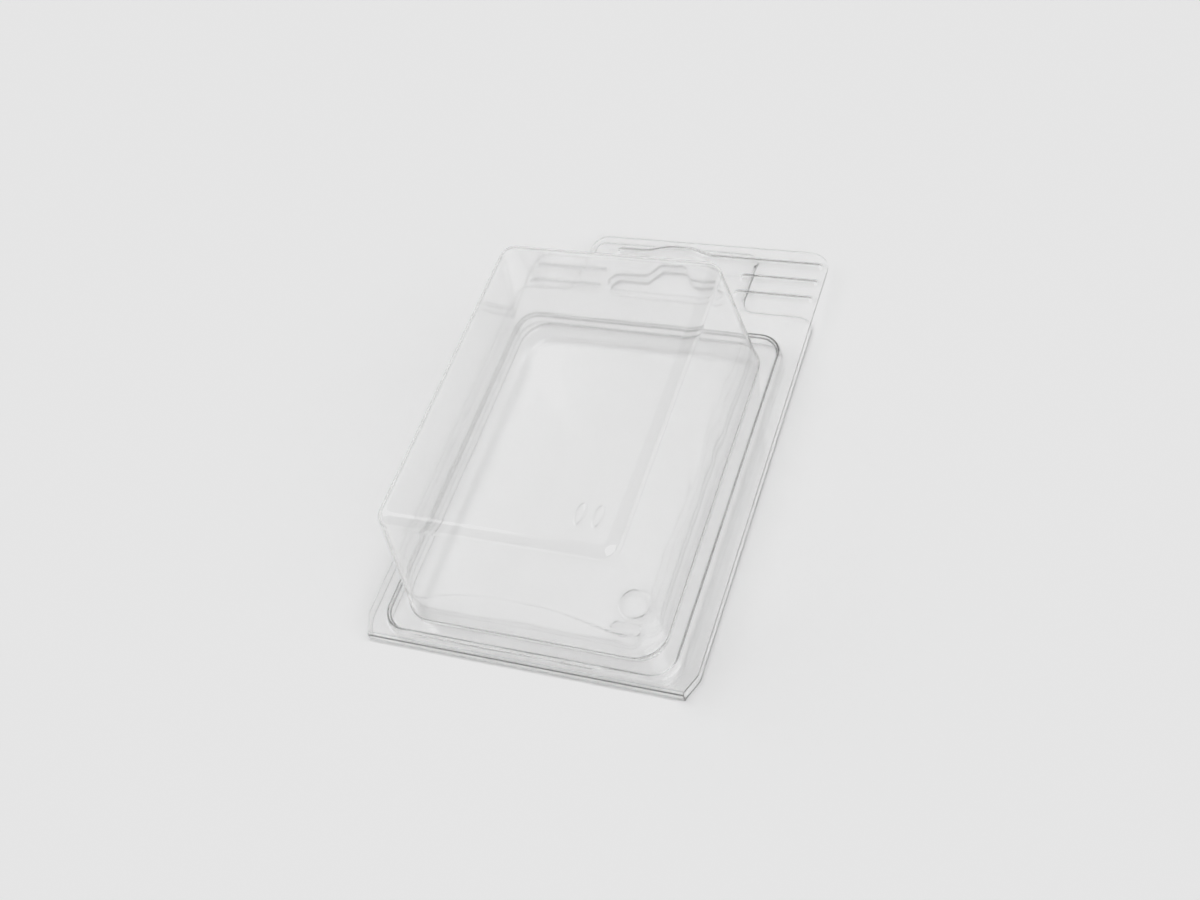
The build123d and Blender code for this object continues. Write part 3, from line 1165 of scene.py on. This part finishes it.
# %% [markdown]
# ## Floor
#
# The floor is a plain pale surface without any shine, a tenth of a millimetre below the pack. Two
# surfaces in exactly the same place would fight over each ray. It is so large that its edge lies far
# outside the picture.

# %% Lay the floor
floor_albedo = 0.9
floor_size = 40
floor_level = -0.1 * mm
floor_material = bpy.data.materials.new("pale_floor")
floor_material.use_nodes = True
floor_shader = floor_material.node_tree.nodes["Principled BSDF"]
floor_shader.inputs["Base Color"].default_value = (floor_albedo, floor_albedo, floor_albedo, 1)
floor_shader.inputs["Roughness"].default_value = 1.0
floor_shader.inputs["Specular IOR Level"].default_value = 0.0
bpy.ops.mesh.primitive_plane_add(size=floor_size, location=(0, 0, floor_level))
floor = bpy.context.object
floor.name = "floor"
floor.data.materials.append(floor_material)
print("floor", floor_size, "m across")

# %% [markdown]
# ## Light
#
# Clear plastic shows only what it mirrors and bends. In a room that is equally bright all round it would
# vanish. So the studio is a dim soft sky that falls off towards the horizon, with a bright soft panel on
# the left, another on the right and a weak one behind the pack on its left. Their places and strengths
# were found by comparing the tone of each wall with the photograph's. Lamps could do the same, but small
# bright shapes make the light inside clear plastic noisy. A sky gives clean light in far less time.
#
# The photograph is overexposed, so its floor is one even pale tone. The strength is worked out so that
# the floor comes a trace above that tone, and the camera cuts it off there later. Behind the floor the
# camera sees the same tone, while the pack still mirrors the studio.

# %% Name the light
floor_tone = 0.787
floor_light = 1.003
sky_heights = {0.0: 0.25, 0.3: 0.42, 1.0: 0.42}
sky_panels = [
    {"light": 0.4, "azimuths": (-60, -17), "elevations": (12, 58)},
    {"light": 1.4, "azimuths": (-110, -60), "elevations": (20, 65)},
    {"light": 1.5, "azimuths": (65, 150), "elevations": (20, 75)},
]
panel_blur = 3.0
print(len(sky_panels), "soft panels, in degrees to the right from straight behind the pack")

# %% Work out how much light the floor gets
def smooth_step(low, high, value):
    """A smooth change from 0 at low to 1 at high."""
    share = np.clip((value - low) / (high - low), 0, 1)
    return share * share * (3 - 2 * share)


def sky_level(azimuth, elevation):
    """The sky's brightness in directions in degrees."""
    level = np.interp(np.sin(np.radians(elevation)), list(sky_heights), list(sky_heights.values()))
    for panel in sky_panels:
        mask = 1.0
        for value, key in ((azimuth, "azimuths"), (elevation, "elevations")):
            low, high = panel[key]
            mask = mask * smooth_step(low - panel_blur, low + panel_blur, value)
            mask = mask * smooth_step(high + panel_blur, high - panel_blur, value)
        level = level + panel["light"] * mask
    return level


sky_steps = 360
sky_shares = (np.arange(sky_steps) + 0.5) / sky_steps
every_azimuth, every_height = np.meshgrid(sky_shares * 360 - 180, sky_shares)
every_level = sky_level(every_azimuth, np.degrees(np.arcsin(every_height)))
on_floor = float((2 * every_height * every_level).mean())
strength = floor_light * floor_tone / floor_albedo / on_floor
print(f"mean light on the floor {on_floor:.3f}, strength {strength:.3f}")

# %% Start the sky with its dim ramp
world = bpy.data.worlds.new("studio")
scene.world = world
world.use_nodes = True
sky = world.node_tree
sky.nodes.clear()
look = add(sky, "ShaderNodeTexCoord", {}).outputs["Generated"]
parts = add(sky, "ShaderNodeSeparateXYZ", {0: look}).outputs
ramp = add(sky, "ShaderNodeValToRGB", {"Fac": parts["Z"]})
elements = ramp.color_ramp.elements
while len(elements) < len(sky_heights):
    elements.new(0.5)
for element, (height, level) in zip(elements, sorted(sky_heights.items())):
    element.position = height
    element.color = (level, level, level, 1)
print("ramp of", len(elements), "levels")

# %% Add the soft panels to the sky
turned = calculate(sky, "DEGREES", calculate(sky, "ARCTAN2", parts["X"], parts["Y"]))
raised = calculate(sky, "DEGREES", calculate(sky, "ARCSINE", parts["Z"]))


def soft_mask(low, high, value):
    """1 between two angles and 0 outside them, with a soft change at each."""
    rise = {"Value": value, "From Min": low - panel_blur, "From Max": low + panel_blur}
    fall = {"Value": value, "From Min": high + panel_blur, "From Max": high - panel_blur}
    smooth = {"interpolation_type": "SMOOTHSTEP"}
    risen = add(sky, "ShaderNodeMapRange", rise, **smooth).outputs[0]
    fallen = add(sky, "ShaderNodeMapRange", fall, **smooth).outputs[0]
    return calculate(sky, "MULTIPLY", risen, fallen)


total = ramp.outputs["Color"]
for panel in sky_panels:
    sideways = soft_mask(*panel["azimuths"], turned)
    upwards = soft_mask(*panel["elevations"], raised)
    mask = calculate(sky, "MULTIPLY", sideways, upwards)
    total = calculate(sky, "MULTIPLY_ADD", mask, panel["light"], total)
print("sky of", len(sky.nodes), "nodes")

# %% Show the camera a plain tone instead of the sky
studio_light = add(sky, "ShaderNodeBackground", {"Color": total, "Strength": strength})
tone_color = (floor_tone, floor_tone, floor_tone, 1)
plain_tone = add(sky, "ShaderNodeBackground", {"Color": tone_color, "Strength": 1.0})
is_camera = add(sky, "ShaderNodeLightPath", {}).outputs["Is Camera Ray"]
seen = add(sky, "ShaderNodeMixShader", {0: is_camera, 1: studio_light.outputs[0], 2: plain_tone.outputs[0]})
world_out = add(sky, "ShaderNodeOutputWorld", {"Surface": seen.outputs[0]})
print("sky ends in", world_out.name)

# %% [markdown]
# ## Camera
#
# The photograph looks down on the pack from the right of its bottom edge, with the camera rolled to one
# side. Azimuth, elevation, roll and distance were worked out from the pack's own straight edges. A
# camera can be aimed with a Track To constraint, but that can't roll it, so its matrix is built here
# from the three directions that it needs.

# %% Set the camera
azimuth = radians(34.91)
elevation = radians(50.65)
roll = radians(-20.67)
distance = 388.4 * mm
aim = Vector((-2.0 * mm, -3.0 * mm, 0))
towards = Vector((-sin(azimuth) * cos(elevation), cos(azimuth) * cos(elevation), -sin(elevation)))
level_right = towards.cross(Vector((0, 0, 1))).normalized()
level_up = level_right.cross(towards)
right = level_right * cos(roll) + level_up * sin(roll)
up = right.cross(towards)
camera = bpy.data.objects.new("camera", bpy.data.cameras.new("camera"))
scene.collection.objects.link(camera)
pose = Matrix((right, up, -towards)).transposed().to_4x4()
pose.translation = aim - towards * distance
camera.matrix_world = pose
camera.data.lens = 45.98
camera.data.clip_start = 10 * mm
scene.camera = camera
print("camera at", [round(value, 3) for value in pose.translation])

# %% [markdown]
# ## The camera's response
#
# An overexposed picture is cut off at one tone, however bright the thing is. A curve in the view
# settings does that: it is straight up to the floor's tone and level from there. Turning up the exposure
# would cut at pure white instead, which the photograph isn't. The Standard view keeps all tones below as
# they are. The picture is also a little soft, so each pixel gathers light from a slightly wider patch.
#
# A ray that passes the whole pack crosses a dozen surfaces and is mirrored between them, so it may
# bounce often. Blurring such light would save time, but it would wash out the fine lines.

# %% Set the camera's response
most_bounces = 40
pixel_patch = 2.0
scene.view_settings.view_transform = "Standard"
scene.view_settings.use_curve_mapping = True
response = scene.view_settings.curve_mapping
response.extend = "HORIZONTAL"
points = response.curves[3].points
points.new(floor_tone, floor_tone)
points[-1].location = (1.0, floor_tone)
for point in points:
    point.handle_type = "VECTOR"
response.update()
scene.cycles.max_bounces = most_bounces
scene.cycles.transmission_bounces = most_bounces
scene.cycles.blur_glossy = 0.0
scene.cycles.filter_width = pixel_patch
print("curve through", [tuple(round(value, 3) for value in point.location) for point in points])
